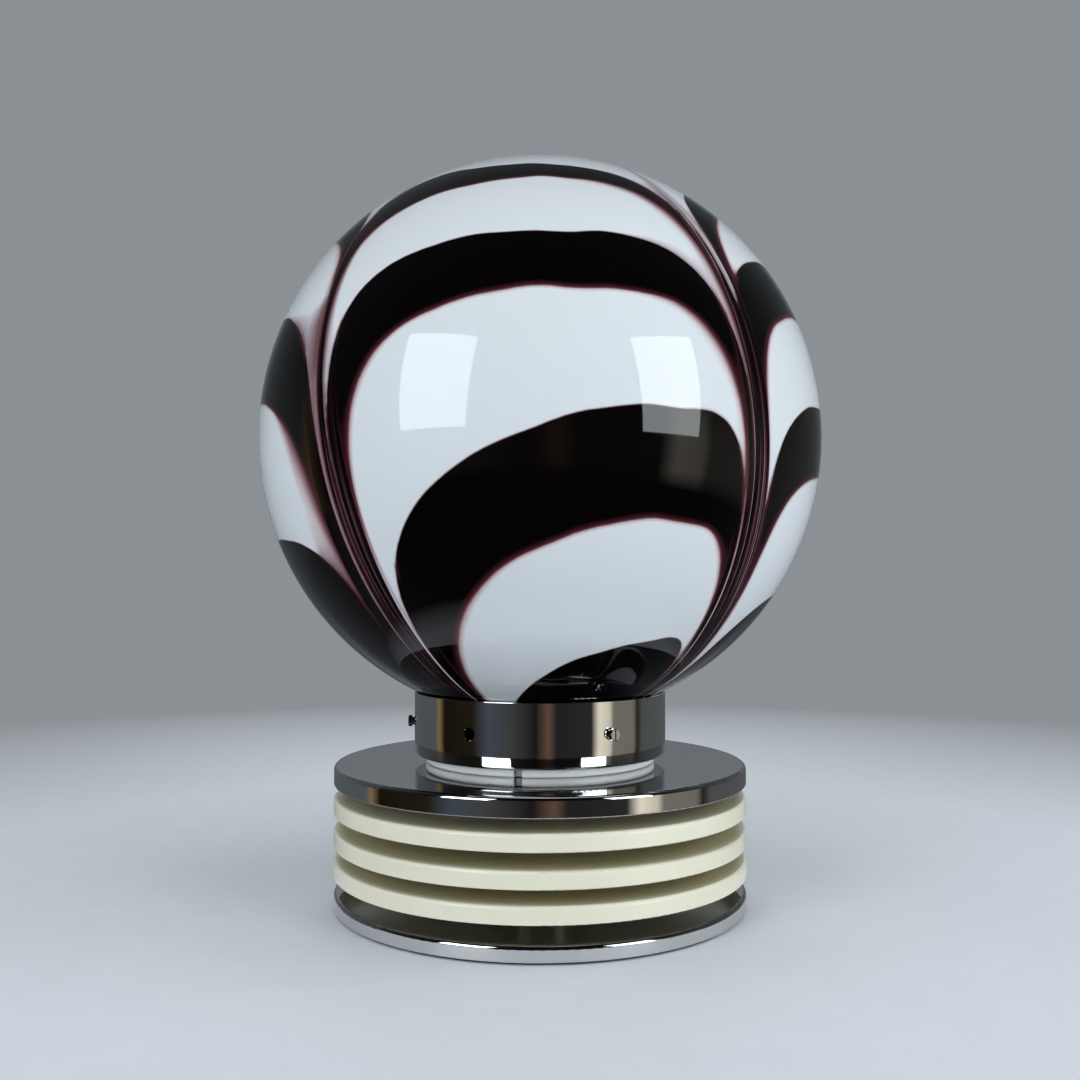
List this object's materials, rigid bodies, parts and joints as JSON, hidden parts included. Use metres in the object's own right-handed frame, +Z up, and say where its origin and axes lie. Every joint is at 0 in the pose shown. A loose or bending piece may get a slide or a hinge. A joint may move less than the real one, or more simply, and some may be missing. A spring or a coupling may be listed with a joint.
{
  "type": "glass table lamp",
  "caption": "Table lamp with a blown glass globe clamped by screws in a chrome collar, on a stack of spaced chrome and lacquered discs.",
  "frame": {"origin": "on the table, under the middle of the base", "axes": "+Z up, -Y towards the front, +X to the right seen from the front"},
  "size_m": [0.3, 0.3, 0.3969],
  "materials": {
    "opal_glass": "gloss, opal white with combed dark bands",
    "chrome": "polished",
    "cream_lacquer": "satin lacquer",
    "white_plastic": "satin",
    "felt": "felt",
    "ballast_steel": "raw",
    "zinc_steel": "zinc plated",
    "spacer_aluminium": "turned",
    "soft_rubber": "matt",
    "brass": "stamped",
    "holder_plastic": "moulded",
    "steatite": "unglazed",
    "bulb_glass": "frosted",
    "bulb_aluminium": "pressed",
    "black_glass": "gloss"
  },
  "bodies": {
    "base": {"collar": "chrome", "top_plate": "chrome", "base_plate": "chrome", "upper_disc": "cream_lacquer", "middle_disc": "cream_lacquer", "lower_disc": "cream_lacquer", "trim_ring": "white_plastic", "ring_splice": "zinc_steel", "base_felt": "felt", "ballast": "ballast_steel", "stem": "zinc_steel", "base_nut": "zinc_steel", "base_washer": "zinc_steel", "top_nut": "zinc_steel", "top_washer": "zinc_steel", "earth_tag": "brass", "base_spacer": "spacer_aluminium", "lower_spacer": "spacer_aluminium", "middle_spacer": "spacer_aluminium", "upper_spacer": "spacer_aluminium", "collar_spacer": "spacer_aluminium", "cable_bush": "soft_rubber", "neck_gasket": "soft_rubber", "screw_bushes": "zinc_steel", "holder_cap": "holder_plastic", "holder_body": "holder_plastic", "holder_core": "steatite", "holder_sleeve": "brass", "holder_contact": "brass", "terminal_screws": "zinc_steel"},
    "globe": {"globe": "opal_glass"},
    "bulb": {"bulb_glass": "bulb_glass", "bulb_cap": "bulb_aluminium", "bulb_insulator": "black_glass", "bulb_contact": "brass"},
    "pad_1": {"screw_pad_1": "soft_rubber"},
    "screw_1": {"globe_screw_1": "chrome"},
    "pad_2": {"screw_pad_2": "soft_rubber"},
    "screw_2": {"globe_screw_2": "chrome"},
    "pad_3": {"screw_pad_3": "soft_rubber"},
    "screw_3": {"globe_screw_3": "chrome"}
  },
  "joints": [
    {"name": "globe_lift", "type": "slide", "parent": "base", "child": "globe", "axis": [0, 0, 1], "range_m": [0, 0.16]},
    {"name": "bulb_lift", "type": "slide", "parent": "base", "child": "bulb", "axis": [0, 0, 1], "range_m": [0, 0.026]},
    {"name": "screw_1_travel", "type": "slide", "parent": "base", "child": "pad_1", "axis": [0.5225, -0.8526, 0], "range_m": [0, 0.00315]},
    {"name": "screw_1_turn", "type": "hinge", "parent": "pad_1", "child": "screw_1", "pos_m": [0.03396, -0.05542, 0.0957], "axis": [0.5225, -0.8526, 0], "range_deg": [0, 1620]},
    {"name": "screw_2_travel", "type": "slide", "parent": "base", "child": "pad_2", "axis": [0.4772, 0.8788, 0], "range_m": [0, 0.00315]},
    {"name": "screw_2_turn", "type": "hinge", "parent": "pad_2", "child": "screw_2", "pos_m": [0.03102, 0.05712, 0.0957], "axis": [0.4772, 0.8788, 0], "range_deg": [0, 1620]},
    {"name": "screw_3_travel", "type": "slide", "parent": "base", "child": "pad_3", "axis": [-0.9997, -0.0262, 0], "range_m": [0, 0.00315]},
    {"name": "screw_3_turn", "type": "hinge", "parent": "pad_3", "child": "screw_3", "pos_m": [-0.06498, -0.0017, 0.0957], "axis": [-0.9997, -0.0262, 0], "range_deg": [0, 1620]}
  ],
  "couplings": [
    {"joint": "screw_1_turn", "follows": "screw_1_travel", "rad_per_m": 8976},
    {"joint": "screw_2_turn", "follows": "screw_2_travel", "rad_per_m": 8976},
    {"joint": "screw_3_turn", "follows": "screw_3_travel", "rad_per_m": 8976}
  ]
}
